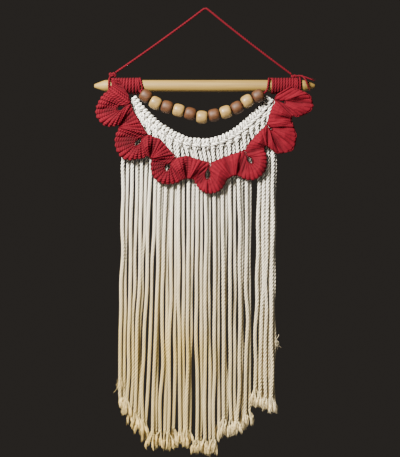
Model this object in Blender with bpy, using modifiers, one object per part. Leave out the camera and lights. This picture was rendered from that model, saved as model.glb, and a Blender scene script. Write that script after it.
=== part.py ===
"""Macrame wall hanging on a wooden dowel: white corded fringe, red knotted ruffle and a bead string.

Sizes are in millimetres and are scaled to metres when meshes are made. The origin is the inside of the
hanger cord's apex, where it lies on the nail. X runs along the dowel, the front faces -Y, Z is up.
"""
import math

import bmesh
import bpy
import numpy as np
from mathutils import Vector

MM = 0.001
GAP = 0.3

# Dowel
DOWEL_LENGTH = 300.0
DOWEL_DIAMETER = 16.0
DOWEL_TIP_LENGTH = 15.0
DOWEL_TIP_DIAMETER = 4.8
DOWEL_CENTRE_X = -1.2
DOWEL_Z = -103.4
DOWEL_SIDES = 20

# Red cord wound round the dowel: a flattened cord, as wide as its pitch
WRAP_PITCH = 3.7
WRAP_THICKNESS = 2.8
WRAP_GROOVE = 0.66
WRAP_SIDES = 16
WRAP_INNER_RADIUS = DOWEL_DIAMETER / 2 + GAP
WRAPS = (
    # left end x, turns
    {"name": "left", "x": -128.2, "turns": 10},
    {"name": "right", "x": 89.0, "turns": 10},
)

# Ties of the hanger: a ring round the dowel, a knot on it, and the loose tails of the right one
TAIL_CROSSING = ((127.6, 1.0, -89.4), (131.5, -5.0, -90.8), (135.0, -9.6, -96.0),
                 (137.2, -10.6, -102.0), (139.6, -9.2, -107.6))
TAIL_ALONG = ((127.0, 2.0, -89.2), (135.0, 3.0, -90.8), (142.0, 2.2, -93.4), (147.6, 1.2, -95.4))
TIES = (
    # x of the ring; where the cord bends from it to the knot; the knot's centre and half sizes; the tails
    {"name": "hanger_tie_left", "ring_x": -130.2, "bend": (-129.4, 0.0, -90.0), "knot": (-126.2, 0.0, -88.3),
     "half": (5.2, 3.8, 3.4), "tails": ()},
    {"name": "hanger_tie_right", "ring_x": 128.4, "bend": (127.8, 2.4, -89.4), "knot": (120.5, 5.2, -89.8),
     "half": (4.4, 3.0, 2.6), "tails": (TAIL_CROSSING, TAIL_ALONG)},
)
TIE_CORD = 3.2
TIE_LEG_CORD = 2.6
TIE_RING_SIDES = 6
TAIL_STEP = 4.0
KNOT_SEGMENTS = (14, 9)
KNOT_RIDGE = 0.35
KNOT_RIDGES = 3
KNOT_TWIST = 4.0

# Hanger cord
HANGER_DIAMETER = 3.0
HANGER_BEND_RADIUS = 6.0
HANGER_SAG = 1.2
HANGER_FOOT_OUT = 0.5
HANGER_POINTS = 9
HANGER_STEP = 2.5 * HANGER_DIAMETER

# Bead string
BEAD_LENGTH = 15.0
BEAD_DIAMETER = 17.5
BEAD_END_RADIUS = 4.4
BEAD_BORE_RADIUS = 2.4
BEAD_CURVE = (
    # share of the half length, share of the radius
    (0.0, 1.0), (0.5, 0.955), (0.86, 0.80),
)
BEAD_PITCH = 16.4
BEAD_SIDES = 12
BEAD_PLANE_Y = -9.4
CENTRE_BEAD = (-4.8, -146.7)
LEFT_RISES = (16.0, 16.0, 16.0, 19.0, 36.0)
RIGHT_RISES = (9.0, 15.0, 21.0, 33.0, 25.0)
STRING_DIAMETER = 3.0
STRING_STEP = 1.4 * STRING_DIAMETER
STRING_IN_BEAD = 0.45
STRING_PAST_END_BEAD = 0.56
STRING_WRAP_RADIUS = DOWEL_DIAMETER / 2 + 2 * GAP + STRING_DIAMETER / 2
STRING_TURN = (
    # degrees round the dowel from its back, up to its top; share of the way from the low x to the high x
    (210, 0.1), (180, 0.35), (135, 0.75), (90, 1.0), (40, 1.0), (0, 1.0), (-45, 1.0),
)
STRING_TURN_LEFT = (-84.9, -89.2)
STRING_TURN_RIGHT = (83.4, 86.4)

# White header: an arc of lark's heads, two bars in each
ARC_VERTEX = (-5.8, -174.6)
ARC_RISE = 0.00743
ARC_HALF_SPAN = 89.0
ARC_SAMPLES = 801
HEADS = 20
HEADER_Y = 1.5
BAND_CREST = ((0.0, 0.4), (1.2, -3.6), (4.6, -5.3), (7.2, -4.4), (9.6, -6.2), (12.2, -4.6),
              (14.5, -2.0), (14.5, 2.2), (9.5, 4.4), (4.6, 4.9), (1.2, 3.8))
GROOVE_IN_HEAD = 0.80
GROOVE_BETWEEN = 0.62
CREST_SINK = 1.2
CREST_DEPTH = 2.0

# White fringe: one four-sided strand for each bar
STRAND_HALF = 2.9
LAYER_Y = 2.25
STRAND_ROOT = 8.0
STRAND_SWING = (0.08, 0.36, 0.68, 1.0)
SWING_END_Z = -212.0
UPPER_Z = -299.2
LOWER_Z = -516.8
BRUSH_LENGTH = 19.0
BRUSH_HALF = 4.3
BRUSH_SHAPE = (
    # height above the cut as a share of the brush; half width as a share of its widest
    (0.3, 1.0), (0.0, 0.86),
)
BUNCHES = (
    # strands; left and right x at UPPER_Z and at LOWER_Z; z of the cut at the left and at the right
    {"count": 8, "upper": (-113.6, -71.4), "lower": (-117.0, -79.6), "cut": (-541.3, -584.8)},
    {"count": 6, "upper": (-64.6, -41.5), "lower": (-70.7, -43.5), "cut": (-593.0, -594.3)},
    {"count": 4, "upper": (-36.0, -17.0), "lower": (-34.7, -20.4), "cut": (-587.5, -590.2)},
    {"count": 5, "upper": (-10.9, 11.6), "lower": (-11.6, 11.6), "cut": (-601.1, -601.1)},
    {"count": 9, "upper": (17.7, 60.5), "lower": (18.4, 59.8), "cut": (-582.1, -564.4)},
    {"count": 8, "upper": (70.7, 94.5), "lower": (66.6, 93.2), "cut": (-535.8, -545.4)},
)

# Red ruffle: each lobe is a fan of ribs round a small hole, closed at its mouth, with a neck between lobes
FAN_PLACES = (-1.0, -0.5, 0.0, 0.5, 1.0)
LOBES = (
    # hole centre, long and short radius, slant; way of the fan and its half angle; reach at FAN_PLACES
    {"hole": (-114.9, -134.9), "r": (5.0, 3.2), "slant": 25, "way": 195, "half": 70,
     "reach": (28.8, 30.0, 34.6, 31.5, 22.4), "mouth": (-102.0, -128.9), "ribs": 12, "y": -12.4},
    {"hole": (-91.1, -180.2), "r": (6.6, 3.4), "slant": 52, "way": 225, "half": 80,
     "reach": (31.8, 31.4, 31.0, 23.2, 22.8), "mouth": (-78.9, -170.0), "ribs": 12, "y": -8.0},
    {"hole": (-51.4, -214.4), "r": (5.8, 4.0), "slant": 60, "way": 237, "half": 85,
     "reach": (23.9, 22.6, 23.2, 22.8, 26.6), "mouth": (-39.4, -201.3), "ribs": 11, "y": -7.0},
    {"hole": (3.2, -224.2), "r": (6.6, 3.8), "slant": 80, "way": 272, "half": 72,
     "reach": (19.6, 22.4, 26.2, 27.2, 26.4), "mouth": (6.4, -208.4), "ribs": 12, "y": -7.0},
    {"hole": (60.2, -204.6), "r": (5.6, 3.6), "slant": 125, "way": 315, "half": 80,
     "reach": (26.1, 27.7, 26.2, 22.6, 23.6), "mouth": (51.7, -191.8), "ribs": 12, "y": -7.0},
    {"hole": (88.4, -162.5), "r": (2.2, 2.2), "slant": 0, "way": 320, "half": 58,
     "reach": (24.3, 35.6, 41.0, 33.8, 29.0), "mouth": (83.0, -157.1), "ribs": 12, "y": -8.2},
    {"hole": (105.4, -126.5), "r": (2.2, 2.2), "slant": 0, "way": 352, "half": 50,
     "reach": (21.4, 32.6, 40.6, 34.8, 24.5), "mouth": (93.8, -123.8), "ribs": 11, "y": -11.6},
)
FIRST_RIB = {"inner": (-117.0, -96.5), "outer": (-127.4, -97.5), "y": -11.8}
NECKS = (
    # the rib between two lobes: its end on the white cords' side and its outer end
    {"inner": (-104.0, -118.3), "outer": (-126.2, -103.0), "y": -12.2},
    {"inner": (-96.6, -140.8), "outer": (-116.8, -159.1), "y": -9.4},
    {"inner": (-61.9, -176.1), "outer": (-73.8, -202.6), "y": -7.6},
    {"inner": (-26.5, -199.0), "outer": (-25.2, -229.6), "y": -7.0},
    {"inner": (27.9, -199.6), "outer": (37.4, -225.8), "y": -7.0},
    {"inner": (67.3, -172.0), "outer": (80.6, -185.4), "y": -7.6},
    {"inner": (85.8, -145.5), "outer": (115.3, -149.3), "y": -9.6},
    {"inner": (97.2, -115.6), "outer": (114.5, -105.3), "y": -10.4},
)
HOLE_TURN_MAX = 165
HOLE_TURN_PAST_FAN = 80
MOUTH_SLIT = 0.9
MOUTH_RIB = 0.62
RIB_PITCH = 6.3
PICOT = 1.3
RIB_SECTION = (
    # share of the way from the rib's inner end to its outer one; lift from the ruffle's plane, back positive
    (0.0, -0.8), (0.28, -3.4), (0.70, -3.8), (1.0, -1.5), (1.0, 1.3), (0.5, 2.6), (0.0, 1.0),
)
GROOVE_DEPTH = 1.5
FRONT_LEAST = -0.5
FOLDS = (
    # place along the ruffle, a lobe to each unit; half width; how far forward it lies (creases back)
    (0.30, 0.14, 1.2), (0.47, 0.10, -1.6), (0.72, 0.16, 1.8), (1.00, 0.12, -2.4),
    (1.24, 0.10, 1.8), (1.41, 0.11, -2.6), (1.66, 0.14, 1.8), (1.84, 0.09, 3.6), (1.96, 0.06, -2.0),
    (2.18, 0.12, 1.0), (2.40, 0.14, -2.4), (2.66, 0.13, 1.6), (2.90, 0.10, 3.8), (3.02, 0.06, -2.0),
    (3.14, 0.09, 2.4), (3.33, 0.13, -2.6), (3.49, 0.05, 1.4), (3.76, 0.18, 3.4), (3.98, 0.06, -1.8),
    (4.10, 0.09, 1.8), (4.24, 0.08, -2.4), (4.55, 0.22, 2.8), (4.80, 0.05, -1.4), (4.98, 0.15, 2.8),
    (5.19, 0.05, -2.6), (5.30, 0.07, 2.6), (5.42, 0.07, -2.6), (5.60, 0.11, 2.4), (5.84, 0.12, 2.0),
    (6.12, 0.15, 2.6), (6.30, 0.06, -2.0), (6.46, 0.12, 2.2), (6.62, 0.07, -1.8), (6.76, 0.10, 2.2),
)
FOLD_ACROSS = (
    # share of the way from the inner edge to the outer one; share of the fold there
    (0.0, 0.2), (0.5, 1.0), (1.0, 0.2),
)

COLOURS = {
    # red, green, blue, roughness
    "birch": (0.72, 0.55, 0.33, 0.55),
    "red cotton": (0.42, 0.012, 0.022, 0.90),
    "white cotton": (0.80, 0.76, 0.68, 0.92),
    "brown bead": (0.30, 0.115, 0.05, 0.30),
    "light bead": (0.72, 0.55, 0.31, 0.38),
}


def clear_scene():
    for thing in list(bpy.data.objects):
        bpy.data.objects.remove(thing, do_unlink=True)


def make_collection(name):
    collection = bpy.data.collections.new(name)
    bpy.context.scene.collection.children.link(collection)
    return collection


def make_material(name):
    red, green, blue, roughness = COLOURS[name]
    material = bpy.data.materials.new(name)
    material.use_nodes = True
    shader = material.node_tree.nodes["Principled BSDF"]
    shader.inputs["Base Color"].default_value = (red, green, blue, 1.0)
    shader.inputs["Roughness"].default_value = roughness
    material.diffuse_color = (red, green, blue, 1.0)
    return material


def link(name, data, material, collection):
    thing = bpy.data.objects.new(name, data)
    data.materials.append(material)
    collection.objects.link(thing)
    if collection is cutters:
        thing.hide_render = True
        thing.display_type = "WIRE"
    return thing


def loft(name, bodies, material, collection):
    """Closed solids, each lofted through its own list of rings of points, joined in one mesh."""
    bm = bmesh.new()
    for rings in bodies:
        rows = [[bm.verts.new(Vector(point) * MM) for point in ring] for ring in rings]
        for near, far in zip(rows, rows[1:]):
            for i in range(len(near)):
                j = (i + 1) % len(near)
                bm.faces.new((near[i], near[j], far[j], far[i]))
        bm.faces.new(rows[0][::-1])
        bm.faces.new(rows[-1])
    bmesh.ops.recalc_face_normals(bm, faces=bm.faces[:])
    mesh = bpy.data.meshes.new(name)
    bm.to_mesh(mesh)
    bm.free()
    mesh.shade_smooth()
    return link(name, mesh, material, collection)


def turned(name, profile, sides, centre, axis, material, collection):
    """A profile of (radius, height) points turned about its height, which is laid along axis.

    A profile that starts and ends on the axis stays open, and any other is a closed loop.
    """
    mesh = bpy.data.meshes.new(name)
    points = [(radius * MM, 0.0, height * MM) for radius, height in profile]
    edges = [(i, i + 1) for i in range(len(points) - 1)]
    if profile[0][0] > 0:
        edges.append((len(points) - 1, 0))
    mesh.from_pydata(points, edges, [])
    thing = link(name, mesh, material, collection)
    screw = thing.modifiers.new("turn", "SCREW")
    screw.angle = 2 * math.pi
    screw.steps = sides
    screw.render_steps = sides
    screw.use_merge_vertices = True
    screw.merge_threshold = 0.00001
    screw.use_smooth_shade = True
    thing.rotation_euler = Vector((0, 0, 1)).rotation_difference(Vector(axis)).to_euler()
    thing.location = Vector(centre) * MM
    return thing


def smooth_route(points, step):
    """Points about a step apart on a smooth curve through the given ones."""
    ends = [2 * Vector(points[0]) - Vector(points[1])], [2 * Vector(points[-1]) - Vector(points[-2])]
    knots = ends[0] + [Vector(point) for point in points] + ends[1]
    route = []
    for a, b, c, d in zip(knots, knots[1:], knots[2:], knots[3:]):
        pieces = max(1, round((c - b).length / step))
        for i in range(pieces):
            t = i / pieces
            route.append(0.5 * (2 * b + (c - a) * t + (2 * a - 5 * b + 4 * c - d) * t ** 2
                                + (3 * b - a - 3 * c + d) * t ** 3))
    route.append(Vector(points[-1]))
    return route


def cord(name, route, diameter, material, collection):
    curve = bpy.data.curves.new(name, "CURVE")
    curve.dimensions = "3D"
    curve.bevel_depth = diameter / 2 * MM
    curve.bevel_resolution = 2
    curve.use_fill_caps = True
    spline = curve.splines.new("POLY")
    spline.points.add(len(route) - 1)
    for point, place in zip(spline.points, route):
        point.co = (*(Vector(place) * MM), 1.0)
    return link(name, curve, material, collection)


def as_mesh(thing):
    """The closed mesh of a curve, with its caps welded on, in place of the curve."""
    bpy.context.view_layer.update()
    evaluated = thing.evaluated_get(bpy.context.evaluated_depsgraph_get())
    mesh = bpy.data.meshes.new_from_object(evaluated)
    bm = bmesh.new()
    bm.from_mesh(mesh)
    bmesh.ops.remove_doubles(bm, verts=bm.verts[:], dist=0.00001)
    bm.to_mesh(mesh)
    bm.free()
    solid = bpy.data.objects.new(thing.name + "_solid", mesh)
    thing.users_collection[0].objects.link(solid)
    solid.matrix_world = thing.matrix_world
    solid.hide_render = True
    solid.display_type = "WIRE"
    bpy.data.objects.remove(thing, do_unlink=True)
    return solid


def unite(target, others):
    for other in others:
        union = target.modifiers.new("with " + other.name, "BOOLEAN")
        union.operation = "UNION"
        union.solver = "EXACT"
        union.object = other


def build_dowel():
    half = DOWEL_LENGTH / 2
    shoulder = half - DOWEL_TIP_LENGTH
    radius = DOWEL_DIAMETER / 2
    tip = DOWEL_TIP_DIAMETER / 2
    profile = [(0.0, half), (tip, half), (radius, shoulder), (radius, -shoulder), (tip, -half), (0.0, -half)]
    turned("dowel", profile, DOWEL_SIDES, (DOWEL_CENTRE_X, 0, DOWEL_Z), (1, 0, 0), materials["birch"], parts)


def build_wrap(wrap):
    """The close turns of red cord round the dowel: a sleeve with one ridge for each turn."""
    groove = WRAP_INNER_RADIUS + WRAP_THICKNESS * WRAP_GROOVE
    crest = WRAP_INNER_RADIUS + WRAP_THICKNESS
    outside = [(groove, 0.0)]
    for i in range(wrap["turns"]):
        outside += [(crest, (i + 0.5) * WRAP_PITCH), (groove, (i + 1) * WRAP_PITCH)]
    length = wrap["turns"] * WRAP_PITCH
    profile = outside[::-1] + [(WRAP_INNER_RADIUS, 0.0), (WRAP_INNER_RADIUS, length)]
    return turned("wrap_" + wrap["name"], profile, WRAP_SIDES, (wrap["x"], 0, DOWEL_Z), (1, 0, 0),
                  materials["red cotton"], cutters)


def direction(degrees):
    return Vector((math.cos(math.radians(degrees)), 0, math.sin(math.radians(degrees))))


def flat(point, y):
    return Vector((point[0], y, point[1]))


def lobe_ribs(lobe, before, after):
    """Ribs of one lobe as (inner end, outer end), between the necks before and after it."""
    hole = flat(lobe["hole"], lobe["y"])
    mouth = flat(lobe["mouth"], lobe["y"])
    across = (mouth - hole).normalized().cross(Vector((0, 1, 0))) * MOUTH_SLIT
    long_radius, short_radius = lobe["r"]
    hole_turn = min(HOLE_TURN_MAX, lobe["half"] + HOLE_TURN_PAST_FAN)
    fan = []
    for i in range(lobe["ribs"]):
        t = 2 * i / (lobe["ribs"] - 1) - 1
        turned_by = math.radians(lobe["way"] + hole_turn * t - lobe["slant"])
        inner = (hole + long_radius * math.cos(turned_by) * direction(lobe["slant"])
                 + short_radius * math.sin(turned_by) * direction(lobe["slant"] + 90))
        reach = float(np.interp(t, FAN_PLACES, lobe["reach"]))
        fan.append((inner, hole + reach * direction(lobe["way"] + lobe["half"] * t)))
    first = (mouth + across, before[1].lerp(fan[0][1], MOUTH_RIB))
    last = (mouth - across, after[1].lerp(fan[-1][1], MOUTH_RIB))
    return [first] + fan + [last]


def ribs_between(start, end):
    """The rib at the start and evenly spaced ones before the rib at the end."""
    widest = max((end[0] - start[0]).length, (end[1] - start[1]).length)
    count = max(1, round(widest / RIB_PITCH))
    return [(start[0].lerp(end[0], i / count), start[1].lerp(end[1], i / count)) for i in range(count)]


def ruffle_ribs():
    """All rib crests as (inner end, outer end), and each one's place, from the left wrap to the right."""
    single_ribs = (FIRST_RIB, *NECKS)
    start, *necks = [(flat(rib["inner"], rib["y"]), flat(rib["outer"], rib["y"])) for rib in single_ribs]
    groups = [ribs_between(start, necks[0])]
    for lobe, before, after in zip(LOBES, necks, necks[1:]):
        fan = lobe_ribs(lobe, before, after)
        groups.append(ribs_between(before, fan[0]) + fan[:-1] + ribs_between(fan[-1], after))
    ribs = [rib for group in groups for rib in group] + [necks[-1]]
    places = [number - 1 + i / len(group) for number, group in enumerate(groups) for i in range(len(group))]
    return ribs, places + [len(LOBES)]


def fold_at(place, share):
    """How far forward the ruffle lies at a place along it, a share of the way across."""
    depth = 0.0
    for crest, half_width, forward in FOLDS:
        away = min(1.0, abs(place - crest) / half_width)
        depth += forward * (1 + math.cos(math.pi * away)) / 2
    shares, weights = zip(*FOLD_ACROSS)
    return depth * float(np.interp(share, shares, weights))


def rib_ring(inner, outer, place, groove):
    """Section of the ruffle along a rib, or along the groove between two ribs."""
    along = outer - inner
    reach = along.length - (PICOT if groove else 0.0)
    ring = []
    for share, lift in RIB_SECTION:
        fold = fold_at(place, share)
        if lift > 0:
            lift -= max(fold, 0.0)
        else:
            lift = min(lift - fold + (GROOVE_DEPTH if groove else 0.0), FRONT_LEAST)
        ring.append(inner + along.normalized() * reach * share + Vector((0, lift, 0)))
    return ring


def build_ruffle():
    ribs, places = ruffle_ribs()
    rings = []
    for rib, next_rib, place, next_place in zip(ribs, ribs[1:], places, places[1:]):
        rings.append(rib_ring(*rib, place, False))
        between = [end.lerp(next_end, 0.5) for end, next_end in zip(rib, next_rib)]
        rings.append(rib_ring(*between, (place + next_place) / 2, True))
    rings.append(rib_ring(*ribs[-1], places[-1], False))
    ruffle = loft("ruffle", [rings], materials["red cotton"], parts)
    unite(ruffle, [build_wrap(wrap) for wrap in WRAPS])


def arc_frame():
    """Places at even lengths along the header's top edge, as a function of the share of its length."""
    x = np.linspace(-ARC_HALF_SPAN, ARC_HALF_SPAN, ARC_SAMPLES)
    steps = np.hypot(np.diff(x), np.diff(ARC_RISE * x * x))
    length = np.concatenate([[0.0], np.cumsum(steps)])

    def place(share):
        at = float(np.interp(share * length[-1], length, x))
        tilt = 2 * ARC_RISE * at
        down = Vector((tilt, 0, -1)).normalized()
        edge = Vector((ARC_VERTEX[0] + at, HEADER_Y, ARC_VERTEX[1] + ARC_RISE * at * at))
        return edge, down

    return place


def band_ring(place, share, depth):
    edge, down = place(share)
    ring = []
    for below, y in BAND_CREST:
        sink = (1 - depth) * CREST_SINK if below < CREST_DEPTH else 0.0
        ring.append(edge + down * (below + sink) + Vector((0, y * depth, 0)))
    return ring


def build_band(place):
    """The lark's heads side by side: two bars in each, with a deeper groove between heads."""
    rings = [band_ring(place, 0.0, GROOVE_BETWEEN)]
    for head in range(HEADS):
        for part, depth in ((0.25, 1.0), (0.5, GROOVE_IN_HEAD), (0.75, 1.0), (1.0, GROOVE_BETWEEN)):
            rings.append(band_ring(place, (head + part) / HEADS, depth))
    return loft("header_fringe", [rings], materials["white cotton"], parts)


def strand_rows():
    """Upper x, lower x and cut of each strand and half the width of its brush, bunch by bunch."""
    for bunch in BUNCHES:
        last = bunch["count"] - 1
        pitch = (bunch["lower"][1] - bunch["lower"][0]) / last
        brush = min(BRUSH_HALF, pitch - GAP)
        for i in range(bunch["count"]):
            ends = (bunch["upper"], bunch["lower"], bunch["cut"])
            yield [left + (right - left) * i / last for left, right in ends] + [brush]


def strand_rings(root, layer_y, upper_x, lower_x, cut_z, brush):
    """A strand as four-cornered rings: a swing out from its root, a straight fall and a brush at its end."""
    slope = (lower_x - upper_x) / (LOWER_Z - UPPER_Z)
    swing_x = upper_x + slope * (SWING_END_Z - UPPER_Z)
    end_x = upper_x + slope * (cut_z - UPPER_Z)
    rings = []

    def ring(x, z, half):
        y = HEADER_Y + layer_y
        deep = min(half, STRAND_HALF)
        rings.append([(x - half, y, z), (x, y - deep, z), (x + half, y, z), (x, y + deep, z)])

    ring(root.x, root.z, STRAND_HALF)
    for t in STRAND_SWING:
        ease = t * t * (3 - 2 * t)
        ring(root.x + (swing_x - root.x) * ease, root.z + (SWING_END_Z - root.z) * t, STRAND_HALF)
    ring((swing_x + end_x) / 2, (SWING_END_Z + cut_z) / 2, STRAND_HALF)
    ring(end_x, cut_z + BRUSH_LENGTH, STRAND_HALF)
    for above, width in BRUSH_SHAPE:
        ring(end_x, cut_z + BRUSH_LENGTH * above, brush * width)
    return rings


def build_header_fringe():
    place = arc_frame()
    band = build_band(place)
    bodies = []
    for i, row in enumerate(strand_rows()):
        edge, down = place((i + 0.5) / (2 * HEADS))
        root = edge + down * STRAND_ROOT
        layer_y = -LAYER_Y if i % 2 == 0 else LAYER_Y
        bodies.append(strand_rings(root, layer_y, *row))
    strands = loft("strands", bodies, materials["white cotton"], cutters)
    unite(band, [strands])


def bead_chain():
    """Bead centres and axes, from the middle bead out along both rises of the string."""
    centres = [Vector((CENTRE_BEAD[0], BEAD_PLANE_Y, CENTRE_BEAD[1]))]
    for rise in LEFT_RISES:
        centres.insert(0, centres[0] + BEAD_PITCH * direction(180 - rise))
    for rise in RIGHT_RISES:
        centres.append(centres[-1] + BEAD_PITCH * direction(rise))
    axes = []
    for i, centre in enumerate(centres):
        before = centres[max(i - 1, 0)]
        after = centres[min(i + 1, len(centres) - 1)]
        axes.append((after - before).normalized())
    return centres, axes


def build_beads(centres, axes):
    half = BEAD_LENGTH / 2
    side = [(BEAD_DIAMETER / 2 * out, half * up) for up, out in BEAD_CURVE]
    outside = [(BEAD_END_RADIUS, half)] + side[::-1] + [(out, -up) for out, up in side[1:]]
    profile = outside + [(BEAD_END_RADIUS, -half), (BEAD_BORE_RADIUS, -half), (BEAD_BORE_RADIUS, half)]
    for i, (centre, axis) in enumerate(zip(centres, axes)):
        wood = "brown bead" if i % 2 == 0 else "light bead"
        turned("bead_%02d" % (i + 1), profile, BEAD_SIDES, centre, axis, materials[wood], parts)


def string_turn(x_low, x_high):
    """The string's turn round the dowel, from its lower front over the top to the back."""
    turn = []
    for degrees, share in STRING_TURN:
        angle = math.radians(degrees)
        x = x_low + (x_high - x_low) * share
        turn.append((x, STRING_WRAP_RADIUS * math.cos(angle), DOWEL_Z + STRING_WRAP_RADIUS * math.sin(angle)))
    return turn


def build_bead_string(centres, axes):
    knots = string_turn(*STRING_TURN_LEFT)[::-1]
    for i, (centre, axis) in enumerate(zip(centres, axes)):
        before = STRING_PAST_END_BEAD if i == 0 else STRING_IN_BEAD
        after = STRING_PAST_END_BEAD if i == len(centres) - 1 else STRING_IN_BEAD
        knots += [centre - axis * BEAD_LENGTH * before, centre + axis * BEAD_LENGTH * after]
    knots += string_turn(*STRING_TURN_RIGHT)
    cord("bead_string", smooth_route(knots, STRING_STEP), STRING_DIAMETER, materials["red cotton"], parts)


def build_tie(tie):
    """A turn of cord round the dowel with a round knot over it."""
    red = materials["red cotton"]
    radius = TIE_CORD / 2
    middle = WRAP_INNER_RADIUS + radius
    angles = [-2 * math.pi * i / TIE_RING_SIDES for i in range(TIE_RING_SIDES)]
    profile = [(middle + radius * math.cos(a), radius * math.sin(a)) for a in angles]
    ring = turned(tie["name"], profile, WRAP_SIDES, (tie["ring_x"], 0, DOWEL_Z), (1, 0, 0), red, parts)

    knot_centre = Vector(tie["knot"])
    mesh = bpy.data.meshes.new("knot")
    bm = bmesh.new()
    bmesh.ops.create_uvsphere(bm, u_segments=KNOT_SEGMENTS[0], v_segments=KNOT_SEGMENTS[1], radius=1.0)
    for vert in bm.verts:
        azimuth = math.atan2(vert.co.y, vert.co.x)
        bump = 1 + KNOT_RIDGE / tie["half"][0] * math.cos(KNOT_RIDGES * azimuth + KNOT_TWIST * vert.co.z)
        vert.co = Vector([c * half * bump for c, half in zip(vert.co, tie["half"])]) * MM
    bm.to_mesh(mesh)
    bm.free()
    knot = link("knot_" + tie["name"], mesh, red, cutters)
    knot.location = knot_centre * MM

    foot = Vector((tie["ring_x"], 0, DOWEL_Z + middle))
    routes = [[foot, Vector(tie["bend"]), knot_centre]]
    routes += [smooth_route(tail, TAIL_STEP) for tail in tie["tails"]]
    legs = [as_mesh(cord("leg", route, TIE_LEG_CORD, red, cutters)) for route in routes]
    unite(ring, [knot] + legs)


def hanger_route():
    """Two straight falls from the bend over the nail to the knots, each with a slight sag."""
    apex = Vector((0, 0, HANGER_DIAMETER / 2 - HANGER_BEND_RADIUS))
    route = []
    for tie, side in zip(TIES, (-1, 1)):
        knot = Vector(tie["knot"])
        fall = (knot - apex).normalized()
        square = Vector((-fall.z * side, 0, fall.x * side))
        top = apex + square * HANGER_BEND_RADIUS
        knot_reach = 1 / math.hypot(fall.x / tie["half"][0], fall.z / tie["half"][2])
        foot = knot - fall * (knot_reach + KNOT_RIDGE + GAP) + square * HANGER_FOOT_OUT
        half = []
        for i in range(HANGER_POINTS):
            t = i / (HANGER_POINTS - 1)
            sag = HANGER_SAG * 4 * t * (1 - t)
            half.append(foot.lerp(top, t) - Vector((0, 0, sag)))
        route = route + half if side < 0 else route + [apex + Vector((0, 0, HANGER_BEND_RADIUS))] + half[::-1]
    return smooth_route(route, HANGER_STEP)


def build_all():
    build_dowel()
    build_header_fringe()
    build_ruffle()
    centres, axes = bead_chain()
    build_beads(centres, axes)
    build_bead_string(centres, axes)
    for tie in TIES:
        build_tie(tie)
    cord("hanger_cord", hanger_route(), HANGER_DIAMETER, materials["red cotton"], parts)


clear_scene()
parts = make_collection("macrame wall hanging")
cutters = make_collection("cutters")
materials = {name: make_material(name) for name in COLOURS}
build_all()
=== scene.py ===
"""Dresses the macrame wall hanging: laid cotton ropes, knots, brushes, wood and light.

Sizes are in millimetres and are scaled to metres when meshes are made.
"""
import math
import random

import bpy
import numpy as np
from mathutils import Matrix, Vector


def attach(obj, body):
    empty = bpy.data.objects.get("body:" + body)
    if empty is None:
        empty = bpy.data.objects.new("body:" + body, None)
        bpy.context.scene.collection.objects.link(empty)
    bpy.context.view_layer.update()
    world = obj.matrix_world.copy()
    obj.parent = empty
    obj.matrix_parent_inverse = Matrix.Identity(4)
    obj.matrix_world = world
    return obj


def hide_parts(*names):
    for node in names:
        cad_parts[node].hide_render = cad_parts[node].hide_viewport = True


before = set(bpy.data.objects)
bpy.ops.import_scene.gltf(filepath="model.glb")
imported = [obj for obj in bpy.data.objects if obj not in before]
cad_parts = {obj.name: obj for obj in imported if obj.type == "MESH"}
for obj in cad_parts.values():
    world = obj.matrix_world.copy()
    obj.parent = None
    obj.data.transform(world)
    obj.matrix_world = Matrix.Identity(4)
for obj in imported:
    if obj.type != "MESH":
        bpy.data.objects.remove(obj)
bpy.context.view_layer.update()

MM = 0.001
GAP = 0.3

# Camera, floor and light, in metres and watts
VIEW_DISTANCE = 1.5
VIEW_CENTRE = (-0.0075, -0.2972)
VIEW_HEIGHT = 0.6215
SENSOR_WIDTH = 36.0
FLOOR_Z = -1.5
FLOOR_HALF = 2.0
LIGHTS = (
    {"name": "key", "place": (-0.54, -0.84, 0.36), "size": 0.28, "power": 126.0,
     "colour": (1.0, 0.965, 0.90)},
    {"name": "fill", "place": (0.9, -1.4, -0.5), "size": 1.2, "power": 3.0, "colour": (0.93, 0.96, 1.0)},
)
LIT_POINT = (0, 0, -0.2)
SURROUND = (0.026, 0.0228, 0.020, 1)


def new_object(name, data):
    thing = bpy.data.objects.new(name, data)
    bpy.context.scene.collection.objects.link(thing)
    return thing


def aim(thing, target):
    way = Vector(target) - thing.location
    thing.rotation_mode = "QUATERNION"
    thing.rotation_quaternion = way.to_track_quat("-Z", "Y")


def make_camera():
    data = bpy.data.cameras.new("camera")
    data.sensor_width = SENSOR_WIDTH
    data.lens = SENSOR_WIDTH * VIEW_DISTANCE / VIEW_HEIGHT
    camera = new_object("camera", data)
    camera.location = (VIEW_CENTRE[0], -VIEW_DISTANCE, VIEW_CENTRE[1])
    aim(camera, (VIEW_CENTRE[0], 0, VIEW_CENTRE[1]))
    bpy.context.scene.camera = camera


make_camera()

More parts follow.
